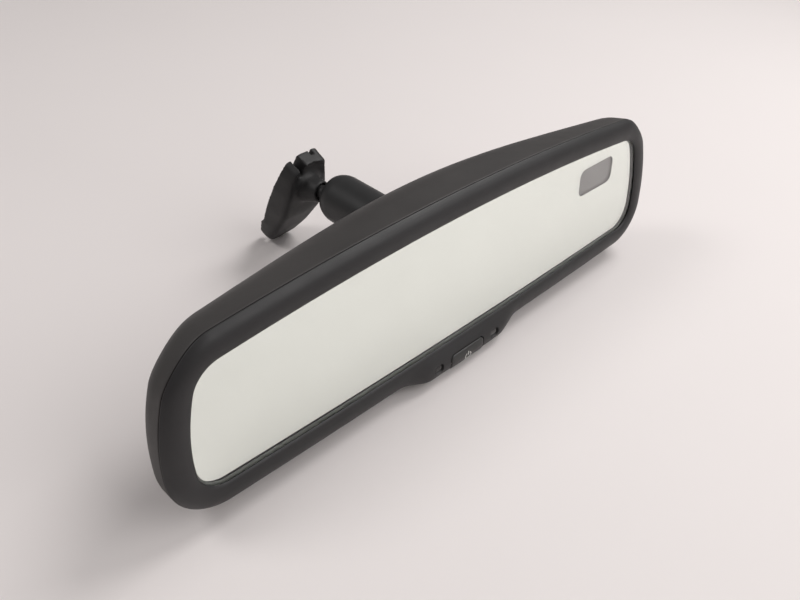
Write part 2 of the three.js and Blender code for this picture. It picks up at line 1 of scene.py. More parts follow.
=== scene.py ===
"""The look of the rearview mirror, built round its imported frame. The file works in metres in
the part's own frame. Shapes are worked out in millimetres in the head's or the foot's own
axes, as the CAD source does, and a matrix from the frame's joints brings them into place."""
import json
import math

import bmesh
import bpy
import numpy as np
from mathutils import Matrix, Vector


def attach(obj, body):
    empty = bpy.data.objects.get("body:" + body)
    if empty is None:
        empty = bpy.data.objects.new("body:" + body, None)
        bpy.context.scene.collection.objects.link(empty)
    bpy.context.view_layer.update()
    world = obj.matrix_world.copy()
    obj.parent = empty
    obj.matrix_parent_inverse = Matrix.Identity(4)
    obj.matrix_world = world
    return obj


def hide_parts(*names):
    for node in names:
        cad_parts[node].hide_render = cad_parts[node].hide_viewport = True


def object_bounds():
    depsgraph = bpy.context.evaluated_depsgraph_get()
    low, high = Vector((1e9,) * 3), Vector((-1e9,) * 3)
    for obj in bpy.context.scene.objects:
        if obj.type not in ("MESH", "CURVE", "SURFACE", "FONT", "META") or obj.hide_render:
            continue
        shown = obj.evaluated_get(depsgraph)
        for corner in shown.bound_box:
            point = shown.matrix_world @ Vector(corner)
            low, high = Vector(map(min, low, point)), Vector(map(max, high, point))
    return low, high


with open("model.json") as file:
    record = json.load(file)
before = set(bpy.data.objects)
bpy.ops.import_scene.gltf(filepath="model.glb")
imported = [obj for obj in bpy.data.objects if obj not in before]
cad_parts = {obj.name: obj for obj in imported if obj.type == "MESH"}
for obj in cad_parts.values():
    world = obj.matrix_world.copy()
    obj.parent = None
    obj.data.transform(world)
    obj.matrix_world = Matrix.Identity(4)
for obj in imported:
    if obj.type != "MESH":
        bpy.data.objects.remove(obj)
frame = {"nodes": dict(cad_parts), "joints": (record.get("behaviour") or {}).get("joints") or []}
CAD_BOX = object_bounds()

MM = 0.001

# ---------------------------------------------------------------- the CAD's own dimensions
TOP_HALF_WIDTH = 115
OPENING_HEIGHT = 46.3
FLARE = 6.5
TOP_BOW = 5.9
BOTTOM_BOW = 2
SIDE_BOW = 3.5
TOP_CORNER_RADIUS = 12.3
BOTTOM_CORNER_RADIUS = 10.4
CHIN_DROP = 4.1
CHIN_BULGE = 2.4
CHIN_FLAT = 20
CHIN_BLEND = 16
CASING_OFFSET = 9.5
CORNER_TRIM = 0.15
WALL = 2
SHOULDER = (11, 5)  # in the middle and at the ends, like the depths
CASING_DEPTHS = (38, 27)
END_DRAFT = 0.45
GLASS_BACK = 0.2
DISPLAY = (89, 12.8, 12.6, 6.3)  # x, z, half width and half height of its window
WINDOW_X = 17
AMBIENT = (-34, 8, 4)  # x, z and radius
CONNECTOR = (45, 2, 22, 10)  # x, z, width and height
SCREW_SPOTS = ((-19, -12), (19, -12), (-19, 22), (19, 22))  # x and z
BOSS_FRONT = 14.9
FUNNEL = ((12.8, 22), (12.8, 26.5), (20.6, 46))  # radius and depth
HEAD_BALL = Vector((0, 26.5, 6.5))
FOOT_BALL = Vector((0, 67.8, 10.2))
BALL = 7
NECK = 3
TUBE = 10.8
BORE = 8.6
MOUTH = 5.3
SEAT_INNER = 7.35
SEAT_OUTER = 8.2
PLATE = (12.3, 14.9)  # clear of the pivot plate, in front and behind
FOOT_TOP = 2.5
FOOT_FACE = 28.5
CHANNEL_TOP = -18
CHANNEL_HEIGHT = 38.6
FOOT_TILT = math.radians(29)
FOOT_TURN = math.radians(6.5)

# The bezel's section as (offset, depth, chin drop, chin bulge): its roll, then its inside.
ROLL = (
    (0, -2.1, 0, 0), (0.15, -2.4, 0, 0), (0.8, -2.85, 0, 0), (1.8, -3.2, 0, 0.05),
    (3.5, -3.4, 0.1, 0.4), (5.3, -3.2, 0.5, 0.9), (7, -2.7, 0.85, 1), (8.3, -1.9, 1, 0.9),
    (9.2, -0.95, 1, 0.4), (9.5, -0.6, 1, 0.1), (9.5, -0.3, 1, 0), (9.2, -0.15, 1, 0),
)
INSIDE = (
    (6.9, -0.15, 1, 0), (6.6, 1.6, 1, 0), (6, 1.6, 1, 0), (6, -0.5, 0.85, 0.8),
    (4.6, -1.4, 0.3, 0.8), (2.7, -1.4, 0, 0.2), (2.6, -2.1, 0, 0),
)

# ---------------------------------------------------------------- places
JOINTS = {joint["name"]: joint for joint in frame["joints"]}


def head_matrix():
    """Millimetres in the head's axes to metres in the part's frame."""
    back = Vector(JOINTS["button_press"]["axis"]).normalized()
    up = Vector(JOINTS["head_turn"]["axis"]).normalized()
    turn = Matrix((back.cross(up), back, up)).transposed()
    origin = Vector(JOINTS["head_turn"]["pos_m"]) - turn @ HEAD_BALL * MM
    return Matrix.Translation(origin) @ turn.to_4x4() @ Matrix.Scale(MM, 4)


HEAD = head_matrix()
ARM_ALONG = (FOOT_BALL - HEAD_BALL).normalized()
ARM_LENGTH = (FOOT_BALL - HEAD_BALL).length
ARM_TURN = Vector((0, 1, 0)).rotation_difference(ARM_ALONG).to_matrix().to_4x4()
ARM = HEAD @ Matrix.Translation(HEAD_BALL) @ ARM_TURN
FOOT_ROTATION = Matrix.Rotation(FOOT_TURN, 4, "Z") @ Matrix.Rotation(FOOT_TILT, 4, "X")
FOOT = HEAD @ Matrix.Translation(FOOT_BALL) @ FOOT_ROTATION
FOOT_STUD = FOOT @ Matrix.Rotation(-FOOT_TILT, 4, "X")
HEAD_STUD = HEAD @ Matrix.Translation(HEAD_BALL) @ Matrix.Rotation(math.pi, 4, "X")


# ---------------------------------------------------------------- materials
def noise(tree, coordinates, scale, detail=3):
    node = tree.nodes.new("ShaderNodeTexNoise")
    node.inputs["Scale"].default_value = scale
    node.inputs["Detail"].default_value = detail
    tree.links.new(coordinates.outputs["Object"], node.inputs["Vector"])
    return node.outputs["Fac"]


def spread(tree, factor, low, high):
    """A number that swings from low to high with the middle half of a noise."""
    node = tree.nodes.new("ShaderNodeMapRange")
    node.inputs["From Min"].default_value = 0.3
    node.inputs["From Max"].default_value = 0.7
    node.inputs["To Min"].default_value = low
    node.inputs["To Max"].default_value = high
    tree.links.new(factor, node.inputs["Value"])
    return node.outputs["Result"]


def tint(tree, factor, dark, light):
    node = tree.nodes.new("ShaderNodeValToRGB")
    node.color_ramp.elements[0].position = 0.3
    node.color_ramp.elements[1].position = 0.7
    node.color_ramp.elements[0].color = (*dark, 1)
    node.color_ramp.elements[1].color = (*light, 1)
    tree.links.new(factor, node.inputs["Fac"])
    return node.outputs["Color"]


def material(name, colour, roughness, patch=25, contrast=0.12, grain=0.3, relief=0.02, **more):
    """A Principled finish with mottled colour, uneven gloss and a fine grain. patch and grain
    are sizes in millimetres, relief is the grain's depth in them."""
    made = bpy.data.materials.new(name)
    made.use_nodes = True
    made.diffuse_color = (*colour, 1)
    tree = made.node_tree
    shader = tree.nodes["Principled BSDF"]
    for socket, value in more.items():
        shader.inputs[socket.replace("_", " ")].default_value = value
    coordinates = tree.nodes.new("ShaderNodeTexCoord")
    mottle = noise(tree, coordinates, 1 / (patch * MM))
    dark = [c * (1 - contrast) for c in colour]
    light = [c * (1 + contrast) for c in colour]
    tree.links.new(tint(tree, mottle, dark, light), shader.inputs["Base Color"])
    uneven = noise(tree, coordinates, 3 / (patch * MM))
    gloss = spread(tree, uneven, roughness * 0.92, roughness * 1.08)
    tree.links.new(gloss, shader.inputs["Roughness"])
    if relief:
        bump = tree.nodes.new("ShaderNodeBump")
        bump.inputs["Strength"].default_value = 1
        bump.inputs["Distance"].default_value = relief * MM
        fine = noise(tree, coordinates, 1 / (grain * MM), 2)
        tree.links.new(fine, bump.inputs["Height"])
        tree.links.new(bump.outputs["Normal"], shader.inputs["Normal"])
    return made


CASING = material("casing_plastic", (0.038, 0.035, 0.034), 0.55, relief=0.03, grain=0.45)
BEZEL = material("bezel_plastic", (0.016, 0.015, 0.016), 0.5, relief=0.022, grain=0.4)
BUTTON = material("button_plastic", (0.03, 0.029, 0.029), 0.48, relief=0.02, grain=0.35)
TUBE_BLACK = material("tube_plastic", (0.013, 0.013, 0.0135), 0.48, relief=0.015, grain=0.5)
CAST = material("cast_foot", (0.010, 0.0095, 0.010), 0.55, relief=0.05, grain=0.9)
PAINT = material("pale_paint", (0.8, 0.79, 0.76), 0.5, relief=0)
GLASS = material("clear_glass", (0.97, 1.0, 0.98), 0.01, contrast=0, relief=0,
                 Transmission_Weight=1, IOR=1.5)
COAT = material("mirror_coat", (0.935, 0.93, 0.91), 0.02, contrast=0.01, relief=0, Metallic=1)
SMOKED = material("smoked_glass", (0.285, 0.25, 0.262), 0.12, contrast=0.03, relief=0)
TINTED = material("tinted_lens", (0.012, 0.011, 0.0115), 0.25, relief=0)
SEAL = material("gel_seal", (0.42, 0.42, 0.4), 0.5, relief=0.01)
LENS = material("dark_lens", (0.005, 0.0045, 0.005), 0.15, relief=0, Coat_Weight=0.5)
FOAM = material("foam_tape", (0.03, 0.03, 0.03), 0.95, relief=0.1, grain=0.5)
CARRIER = material("carrier_plastic", (0.035, 0.034, 0.034), 0.6)
BOARD = material("circuit_board", (0.015, 0.09, 0.045), 0.4, patch=6, contrast=0.25)
CHIP = material("chip_epoxy", (0.014, 0.014, 0.015), 0.45)
TIN = material("tin_plate", (0.62, 0.60, 0.55), 0.3, patch=4, Metallic=1)
STEEL = material("zinc_steel", (0.45, 0.46, 0.47), 0.34, patch=5, Metallic=1)
NYLON = material("nylon", (0.68, 0.66, 0.6), 0.5, patch=8, Subsurface_Weight=0.05)


# ---------------------------------------------------------------- pieces
def piece(name, shape, place, finish, body, replaced=(), crease=35):
    """A mesh of the given points and faces, smoothed below an angle, riding on a body."""
    points, faces = shape
    mesh = bpy.data.meshes.new(name)
    mesh.from_pydata([tuple(p) for p in points], [], faces)
    mesh.transform(place)
    tidy(mesh)
    made = bpy.data.objects.new(name, mesh)
    bpy.context.scene.collection.objects.link(made)
    dress(made, finish, crease)
    if body:
        settle(made, body, replaced)
    return made


def tidy(mesh):
    work = bmesh.new()
    work.from_mesh(mesh)
    bmesh.ops.remove_doubles(work, verts=work.verts, dist=1e-6)
    bmesh.ops.recalc_face_normals(work, faces=work.faces)
    work.to_mesh(mesh)
    work.free()


def dress(made, finish, crease=35):
    made.data.materials.clear()
    made.data.materials.append(finish)
    made.data.shade_smooth()
    made.data.set_sharp_from_angle(angle=math.radians(crease))


def settle(made, body, replaced=()):
    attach(made, body)
    if replaced:
        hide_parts(*replaced)


def bake(made):
    """Takes a piece's modifiers into its mesh."""
    graph = bpy.context.evaluated_depsgraph_get()
    mesh = bpy.data.meshes.new_from_object(made.evaluated_get(graph))
    made.modifiers.clear()
    made.data = mesh


def join(made, tool, operation):
    """Adds a solid to another, or takes it from it, and uses it up."""
    modifier = made.modifiers.new(tool.name, "BOOLEAN")
    modifier.operation = operation
    modifier.solver = "MANIFOLD"
    modifier.object = tool
    bake(made)
    bpy.data.objects.remove(tool)


def combine(made, shapes, place, operation):
    for index, shape in enumerate(shapes):
        join(made, piece(f"tool_{index}", shape, place, CASING, None), operation)


def lofted(rings, closed=False):
    """Faces between rings of equally many points, capped at both ends unless closed."""
    rings = np.asarray(rings, float)
    count, around = rings.shape[:2]
    faces = []
    for row in range(count if closed else count - 1):
        here, there = row * around, (row + 1) % count * around
        for i in range(around):
            j = (i + 1) % around
            faces.append((here + i, here + j, there + j, there + i))
    if not closed:
        faces.append(tuple(range(around)))
        faces.append(tuple(range((count - 1) * around, count * around)))
    return rings.reshape(-1, 3), faces


def turned(profile, sides=96, centre=(0, 0)):
    """A profile of (radius, depth) pairs turned about an axis along Y."""
    angles = np.linspace(0, 2 * math.pi, sides, endpoint=False)
    across, upright = np.cos(angles), np.sin(angles)
    rings = [
        np.stack([centre[0] + r * across, np.full(sides, y), centre[1] + r * upright], 1)
        for r, y in profile
    ]
    return lofted(rings, closed=profile[0] == profile[-1])


def block(width, height, front, back, x=0, z=0):
    corners = [(-1, -1), (1, -1), (1, 1), (-1, 1)]
    return lofted([
        [(x + a * width / 2, y, z + b * height / 2) for a, b in corners]
        for y in (front, back)
    ])


def softened(points, rounds=4):
    """Cuts the corners of an open line of points, again and again."""
    points = np.asarray(points, float)
    for _ in range(rounds):
        near = 0.75 * points[:-1] + 0.25 * points[1:]
        far = 0.25 * points[:-1] + 0.75 * points[1:]
        middle = np.stack([near, far], 1).reshape(-1, points.shape[1])
        points = np.concatenate([points[:1], middle, points[-1:]])
    return points


def smoothstep(value, low, high):
    share = np.clip((value - low) / (high - low), 0, 1)
    return share * share * (3 - 2 * share)


# ---------------------------------------------------------------- the outline
def bow_radius(half_chord, bow):
    return (half_chord ** 2 + bow ** 2) / (2 * bow)


UP = OPENING_HEIGHT / 2
BOTTOM_RADIUS = bow_radius(TOP_HALF_WIDTH + FLARE, BOTTOM_BOW)
BOTTOM_CENTRE = BOTTOM_RADIUS - UP - BOTTOM_BOW


def meeting(a, radius_a, b, radius_b, near):
    """Where two circles meet, on the side nearer to a point."""
    along = b - a
    x = (along.length ** 2 + radius_a ** 2 - radius_b ** 2) / (2 * along.length)
    foot = a + along.normalized() * x
    side = Vector((-along.y, along.x)).normalized() * math.sqrt(radius_a ** 2 - x ** 2)
    return min((foot + side, foot - side), key=lambda point: (point - near).length)


def direction(start, end):
    return math.atan2(end.y - start.y, end.x - start.x)


def half_outline(spacings):
    """The right half of the opening's outline, from the middle of its top to the middle of
    its bottom, as rows of (centre x, centre z, radius, angle)."""
    top_corner = Vector((TOP_HALF_WIDTH, UP))
    bottom_corner = Vector((TOP_HALF_WIDTH + FLARE, -UP))
    top_radius = bow_radius(TOP_HALF_WIDTH, TOP_BOW)
    chord = bottom_corner - top_corner
    side_radius = bow_radius(chord.length / 2, SIDE_BOW)
    top = Vector((0, UP + TOP_BOW - top_radius))
    bottom = Vector((0, BOTTOM_CENTRE))
    inward = Vector((chord.y, -chord.x)).normalized() * (side_radius - SIDE_BOW)
    side = (top_corner + bottom_corner) / 2 + inward
    upper = meeting(top, top_radius - TOP_CORNER_RADIUS,
                    side, side_radius - TOP_CORNER_RADIUS, top_corner)
    lower = meeting(bottom, BOTTOM_RADIUS - BOTTOM_CORNER_RADIUS,
                    side, side_radius - BOTTOM_CORNER_RADIUS, bottom_corner)
    down = -math.pi / 2
    chin_start = down + (CHIN_FLAT + CHIN_BLEND) / BOTTOM_RADIUS
    flat_start = down + CHIN_FLAT / BOTTOM_RADIUS
    top_end, side_start = direction(top, upper), direction(side, upper)
    side_end, bottom_start = direction(side, lower), direction(bottom, lower)
    arcs = [
        (top, top_radius, math.pi / 2, top_end),
        (upper, TOP_CORNER_RADIUS, top_end, side_start),
        (side, side_radius, side_start, side_end),
        (lower, BOTTOM_CORNER_RADIUS, side_end, bottom_start),
        (bottom, BOTTOM_RADIUS, bottom_start, chin_start),
        (bottom, BOTTOM_RADIUS, chin_start, flat_start),
        (bottom, BOTTOM_RADIUS, flat_start, down),
    ]
    rows = []
    for (centre, radius, start, end), spacing in zip(arcs, spacings):
        steps = max(2, round(abs(end - start) * (radius + 4) / spacing))
        for i in range(steps):
            rows.append((centre.x, centre.y, radius, start + (end - start) * i / steps))
    rows.append((0, BOTTOM_CENTRE, BOTTOM_RADIUS, down))
    return np.array(rows)


FINE_PLACES = half_outline((2.2, 0.8, 1.6, 0.8, 2, 0.5, 0.2))
PLAIN_PLACES = half_outline((2.5, 1, 2, 1, 2.5, 1.5, 2))


def outline(places, offset):
    """The whole outline at an offset, once round, as (x, z) rows."""
    centre_x, centre_z, radius, angle = places.T
    corner = np.clip(np.sin(2 * angle), 0, 1) ** 2
    reach = radius + offset * (1 - CORNER_TRIM * corner)
    right = np.stack([centre_x + reach * np.cos(angle), centre_z + reach * np.sin(angle)], 1)
    right[[0, -1], 0] = 0
    left = right[-2:0:-1] * (-1, 1)
    return np.concatenate([right, left])


def chin_share(x, z):
    flank = smoothstep(CHIN_FLAT + CHIN_BLEND - np.abs(x), 0, CHIN_BLEND)
    return np.where(z > 0, 0, flank)


def ring(places, offset, depth, drop=0, bulge=0):
    x, z = outline(places, offset).T
    share = chin_share(x, z)
    return np.stack([
        x, depth - share * bulge * CHIN_BULGE, z - share * drop * CHIN_DROP], 1)


def plate(places, offset, front, back):
    return lofted([ring(places, offset, front), ring(places, offset, back)])


# ---------------------------------------------------------------- bezel, button and windows
def measured_roll(spacing=0.25):
    """The roll's section as rows at even steps along it, measured across the chin."""
    section = softened(ROLL, 3)
    down = section[:, 0] + section[:, 2] * CHIN_DROP
    out = section[:, 1] - section[:, 3] * CHIN_BULGE
    run = np.concatenate([[0], np.cumsum(np.hypot(np.diff(down), np.diff(out)))])
    steps = np.linspace(0, run[-1], round(run[-1] / spacing) + 1)
    return steps, np.stack([np.interp(steps, run, column) for column in section.T], 1)


RUN, SECTION = measured_roll()


def chin_point(x, s):
    """A point of the roll under the middle of the glass, s along the section."""
    offset, depth, drop, bulge = (np.interp(s, RUN, column) for column in SECTION.T)
    z = BOTTOM_CENTRE - np.sqrt((BOTTOM_RADIUS + offset) ** 2 - x ** 2) - drop * CHIN_DROP
    return np.stack([x, depth - bulge * CHIN_BULGE, z], -1)


def chin_normal(x, s):
    step = 0.3
    along = chin_point(x + step, s) - chin_point(x - step, s)
    down = chin_point(x, s + step) - chin_point(x, s - step)
    normal = np.cross(along, down)
    normal *= np.where(normal[..., 1:2] > 0, -1, 1)
    return normal / np.linalg.norm(normal, axis=-1, keepdims=True)


def run_at(z):
    """How far along the section the middle of the chin lies at a height."""
    heights = chin_point(np.zeros(len(RUN)), RUN)[:, 2]
    return float(np.interp(-z, -heights[: len(RUN) - 3], RUN[: len(RUN) - 3]))


# Rounded rectangles on the chin: centre x, centre s, half width, half height, corner radius.
# The button's well is longer than the button underneath, where the button slides as it sinks.
BUTTON_TOP, BUTTON_END = run_at(-30.9), run_at(-38.6) - 0.6
BUTTON_PATCH = (0, (BUTTON_TOP + BUTTON_END) / 2, 9.75, (BUTTON_END - BUTTON_TOP) / 2, 1.9)
WELL_EXTRA = 0.35
WELL_PATCH = (0, BUTTON_PATCH[1] + WELL_EXTRA, 9.75, BUTTON_PATCH[3] + WELL_EXTRA, 1.9)
WINDOW_RUN = run_at(-33.1)
WINDOW_PATCHES = [(side * WINDOW_X, WINDOW_RUN, 2.2, 1.55, 1.1) for side in (-1, 1)]
WELL_DEPTH = 1.5
SEAM_LIP = 0.3


def distance_to(patch, x, s):
    """How far outside a rounded rectangle a place on the chin lies."""
    centre_x, centre_s, half_width, half_height, radius = patch
    over_x = np.abs(x - centre_x) - half_width + radius
    over_s = np.abs(s - centre_s) - half_height + radius
    outside = np.hypot(np.maximum(over_x, 0), np.maximum(over_s, 0))
    return outside + np.minimum(np.maximum(over_x, over_s), 0) - radius


def patch_ring(patch, inset):
    """The outline of a rounded rectangle, drawn in by an inset, as x and s. Its corners are
    given as (side, end, angle, steps along the straight that follows)."""
    centre_x, centre_s, half_width, half_height, radius = patch
    wide, high = half_width - inset, half_height - inset
    round_by = max(min(radius - inset, high), 0.01)
    corners = ((1, 1, 0, 24), (-1, 1, 90, 10), (-1, -1, 180, 24), (1, -1, 270, 10))
    rounds = []
    for side, end, start, _ in corners:
        turn = np.radians(np.linspace(start, start + 90, 9))
        x = side * (wide - round_by) + round_by * np.cos(turn)
        s = end * (high - round_by) + round_by * np.sin(turn)
        rounds.append(np.stack([x, s], 1))
    whole = []
    for index, (*_, steps) in enumerate(corners):
        here, following = rounds[index], rounds[(index + 1) % 4]
        straight = np.linspace(here[-1], following[0], steps + 1)[1:-1]
        whole += [here, straight]
    x, s = np.concatenate(whole).T
    return centre_x + x, centre_s + s


def patch_solid(patch, levels):
    """A solid that follows the chin: rings at (inset, height over the surface)."""
    rings = []
    for inset, height in levels:
        x, s = patch_ring(patch, inset)
        rings.append(chin_point(x, s) + chin_normal(x, s) * height)
    return lofted(rings)


def bezel_shape():
    """The section swept round the opening, its skin sunk for the button and the windows."""
    rows = np.concatenate([SECTION, np.array(INSIDE)])
    rings = np.array([ring(FINE_PLACES, *row) for row in rows])
    skin = rings[: len(RUN)]
    x, z = skin[..., 0], skin[..., 2]
    s = np.broadcast_to(RUN[:, None], x.shape)
    share = smoothstep(-distance_to(WELL_PATCH, x, s), -0.42, -0.2)
    for patch in WINDOW_PATCHES:
        share = np.maximum(share, smoothstep(-distance_to(patch, x, s), -0.4, -0.1))
    inner = (z < 0) & (np.abs(x) < CHIN_FLAT + 1) & (s < RUN[-1] - SEAM_LIP)
    sink = np.where(inner, WELL_DEPTH * share, 0)
    near = sink > 0
    skin[near] -= chin_normal(x[near], s[near]) * sink[near][:, None]
    return lofted(rings, closed=True)


# Rings of the button and of a window's lens, as (inset, height over the chin).
BUTTON_LEVELS = (
    (3.6, -0.36), (0.4, -0.36), (0.12, -0.24), (0.03, -0.14), (0.12, 0.02), (0.27, 0.14),
    (0.5, 0.23), (0.9, 0.29), (1.5, 0.33), (2.3, 0.36), (3.2, 0.38), (3.6, 0.38),
)
WINDOW_LEVELS = (
    (1.3, -1.45), (0, -1.45), (0, -0.75), (0.1, -0.65), (0.3, -0.6), (0.8, -0.56), (1.3, -0.55),
)


def make_bezel():
    """The bezel, the cap of its button and the lenses of its two windows."""
    piece("bezel_moulding", bezel_shape(), HEAD, BEZEL, "head", ["bezel"], 50)
    piece("power_button_cap", patch_solid(BUTTON_PATCH, BUTTON_LEVELS), HEAD, BUTTON,
          "button", ["power_button"], 50)
    for patch, name in zip(WINDOW_PATCHES, ("indicator_pipe", "glare_window")):
        finish, slot = (TINTED, "smoked") if patch[0] < 0 else (LENS, "dark_lens")
        piece(name + "_lens", patch_solid(patch, WINDOW_LEVELS), HEAD, finish, "head",
              [name], 50)


def ribbon(line, width, height, lift):
    """A raised strip on the button along a line of (x, s) places."""
    line = np.array(line, float)
    along = np.gradient(line, axis=0)
    along /= np.linalg.norm(along, axis=1, keepdims=True)
    side = np.stack([-along[:, 1], along[:, 0]], 1) * width / 2
    rings = []
    for share, level in ((-1, lift), (-1, lift + height), (1, lift + height), (1, lift)):
        x, s = (line + side * share).T
        rings.append(chin_point(x, s) + chin_normal(x, s) * level)
    return lofted(np.array(rings).transpose(1, 0, 2))


def make_power_mark():
    """A plain power sign, a broken ring and a bar, printed on the button."""
    middle = BUTTON_PATCH[1] - 0.3
    angles = np.radians(np.linspace(-55, 235, 30))
    loop = [(1.6 * math.cos(a), middle + 1.6 * math.sin(a)) for a in angles]
    stroke = [(0, middle - 2.1 + 0.1 * i) for i in range(19)]
    for name, line in (("power_mark_ring", loop), ("power_mark_bar", stroke)):
        piece(name, ribbon(line, 0.42, 0.05, 0.37), HEAD, PAINT, "button")


# ---------------------------------------------------------------- rear casing
def casing_ring(inset, turn):
    """The casing's outline at an angle along the curve that closes it in towards the back."""
    across, upright, back = math.cos(turn) ** 0.5, math.cos(turn), math.sin(turn)
    x, z = outline(PLAIN_PLACES, CASING_OFFSET - inset).T
    drop = CHIN_DROP * chin_share(x, z) * (1 - back) ** 1.5
    run = (np.abs(x) / (TOP_HALF_WIDTH + FLARE + CASING_OFFSET)) ** 2
    shoulder = SHOULDER[0] + (SHOULDER[1] - SHOULDER[0]) * run
    deepest = CASING_DEPTHS[0] + (CASING_DEPTHS[1] - CASING_DEPTHS[0]) * run * across ** 2
    reach = shoulder + (deepest - inset - shoulder) * back
    draft = END_DRAFT * run * (1 - 0.75 * run) * reach * smoothstep(z, 5, 32)
    return np.stack([x * across, reach, 2 + (z - drop - draft - 2) * upright], 1)


TURNS = (0, 5, 10, 15, 20, 25, 30, 35, 40, 45, 50, 55, 60, 65, 70, 74, 78, 81, 83.5, 85.5)


def casing_rings(inset, edge):
    """Rings from the seam to the back. The edge lists (inset, depth) of the seam's lip."""
    front = [ring(PLAIN_PLACES, CASING_OFFSET - inset - more, y, 1) for more, y in edge]
    first = casing_ring(inset, 0)
    share = [0.25, 0.5, 0.75]
    between = [front[-1] + (first - front[-1]) * k for k in share]
    return [*front, *between, *(casing_ring(inset, math.radians(turn)) for turn in TURNS)]


def bar(radius, front, back, x, z, sides=48):
    return turned([(0, front), (radius, front), (radius, back), (0, back)], sides, (x, z))


def funnel(grow, front):
    (r0, _), (r1, y1), (r2, y2) = FUNNEL
    profile = [(0, front), (r0 + grow, front), (r1 + grow, y1), (r2 + grow, y2), (0, y2)]
    return turned(profile, 96, (0, HEAD_BALL.z))


def make_casing():
    """A hollow shell with a funnel, a socket, a lens tube and screw bosses inside."""
    lip = [(0.35, 0.15), (0.12, 0.22), (0, 0.42), (0, 0.8)]
    outside = lofted(casing_rings(0, lip))
    hollow = lofted(casing_rings(WALL, [(0, -1)]))
    x, z, width, height = CONNECTOR
    fittings = [
        funnel(1.7, FUNNEL[0][1]),
        block(width + 4.4, height + 4.4, 18, 46, x, z),
        bar(AMBIENT[2] + 2, 24, 46, AMBIENT[0], AMBIENT[1]),
        *(bar(3.4, BOSS_FRONT, 46, *spot) for spot in SCREW_SPOTS),
    ]
    holes = [
        funnel(0, 10),
        block(width + 1.2, height + 1.2, 10, 50, x, z),
        bar(AMBIENT[2] + 0.2, 10, 50, AMBIENT[0], AMBIENT[1]),
        *(bar(1.6, 10, BOSS_FRONT + 8.5, *spot, 24) for spot in SCREW_SPOTS),
    ]
    inner = piece("casing_fittings", fittings[0], HEAD, CASING, None)
    combine(inner, fittings[1:], HEAD, "UNION")
    combine(inner, [outside], HEAD, "INTERSECT")
    shell = piece("rear_casing_moulding", outside, HEAD, CASING, None)
    combine(shell, [hollow], HEAD, "DIFFERENCE")
    join(shell, inner, "UNION")
    combine(shell, holes, HEAD, "DIFFERENCE")
    dress(shell, CASING, 32)
    settle(shell, "head", ["rear_casing"])


# ---------------------------------------------------------------- glass
WINDOW_CORNER = 3.4


def window_ring(depth):
    across, upright = patch_ring((*DISPLAY, WINDOW_CORNER), 0)
    return np.stack([across, np.full(len(across), depth), upright], 1)


def make_glass():
    """The reflecting film with the display's window cut out, and the bead of gel behind it."""
    near, far = GLASS_BACK + 0.05, GLASS_BACK + 0.1
    film = piece("mirror_film", plate(PLAIN_PLACES, -0.6, near, far), HEAD, COAT, None)
    window = lofted([window_ring(near - 1), window_ring(far + 1)])
    combine(film, [window], HEAD, "DIFFERENCE")
    dress(film, COAT, 30)
    settle(film, "head")
    near, far = GLASS_BACK + 0.3, GLASS_BACK + 0.6
    rows = [(-0.7, near), (1.6, near), (1.6, far), (-0.7, far)]
    seal = lofted([ring(PLAIN_PLACES, offset, depth) for offset, depth in rows], closed=True)
    piece("gel_seal_bead", seal, HEAD, SEAL, "head", ["gel_seal"])


# ---------------------------------------------------------------- ball joints and arm
def arc(radius, start, end, steps, centre=0):
    angles = np.radians(np.linspace(start, end, steps + 1))
    return [(radius * math.sin(a), centre + radius * math.cos(a)) for a in angles]


def ball_stud(tail):
    neck = math.degrees(math.asin(NECK / BALL))
    ball = [(0, -BALL), *arc(BALL, 179, neck, 40)]
    return turned([*ball, *tail, (0, tail[-1][1])])


def seat_band(start, end):
    band = [*arc(SEAT_OUTER, end, start, 12), *arc(SEAT_INNER, start, end, 12)]
    return turned([*band, band[0]])


def make_tube():
    """The tube, domed over both balls, with a flat lip round each mouth."""
    rim = math.degrees(math.acos((MOUTH + 0.35) / TUBE))
    mouth = math.degrees(math.acos((MOUTH + 0.35) / BORE))
    lip = (TUBE * math.sin(math.radians(rim)) + BORE * math.sin(math.radians(mouth))) / 2
    profile = [
        *arc(TUBE, 180 - rim, 90, 24),
        *arc(TUBE, 90, rim, 24, ARM_LENGTH),
        (lip + 0.9, ARM_LENGTH + MOUTH), (lip - 0.7, ARM_LENGTH + MOUTH),
        *arc(BORE, mouth, 90, 16, ARM_LENGTH),
        *arc(BORE, 90, 180 - mouth, 16),
        (lip - 0.7, -MOUTH), (lip + 0.9, -MOUTH),
    ]
    piece("arm_tube_moulding", turned([*profile, profile[0]]), ARM, TUBE_BLACK, "arm",
          ["arm_tube"], 50)


def make_studs():
    plate_back, plate_front = HEAD_BALL.y - PLATE[1], HEAD_BALL.y - PLATE[0]
    head_tail = [
        (NECK, plate_back - 1.4), (5.5, plate_back - 1.4), (5.5, plate_back),
        (NECK, plate_back), (NECK, plate_front), (4.6, plate_front), (3.6, plate_front + 1.2),
    ]
    piece("head_ball_stud_turned", ball_stud(head_tail), HEAD_STUD, STEEL, "head",
          ["head_ball_stud"])
    foot_tail = [(NECK, 12.6), (NECK + 0.1, 13.2), (NECK + 0.5, 14.2), (3.6, 15), (3.6, 24.5)]
    piece("foot_ball_stud_turned", ball_stud(foot_tail), FOOT_STUD, CAST, "mount_foot",
          ["foot_ball_stud"])


def make_seats():
    for end in ("head", "foot"):
        flip = Matrix.Rotation(math.pi, 4, "X")
        place = ARM @ flip if end == "head" else ARM @ Matrix.Translation((0, ARM_LENGTH, 0))
        ring_node, cup_node = f"{end}_seat_ring", f"{end}_seat_cup"
        ring_body = ring_node if end == "head" else "arm"
        piece(ring_node + "_band", seat_band(56, 77), place, NYLON, ring_body,
              [ring_node])
        piece(cup_node + "_band", seat_band(98, 152), place, NYLON, cup_node,
              [cup_node])


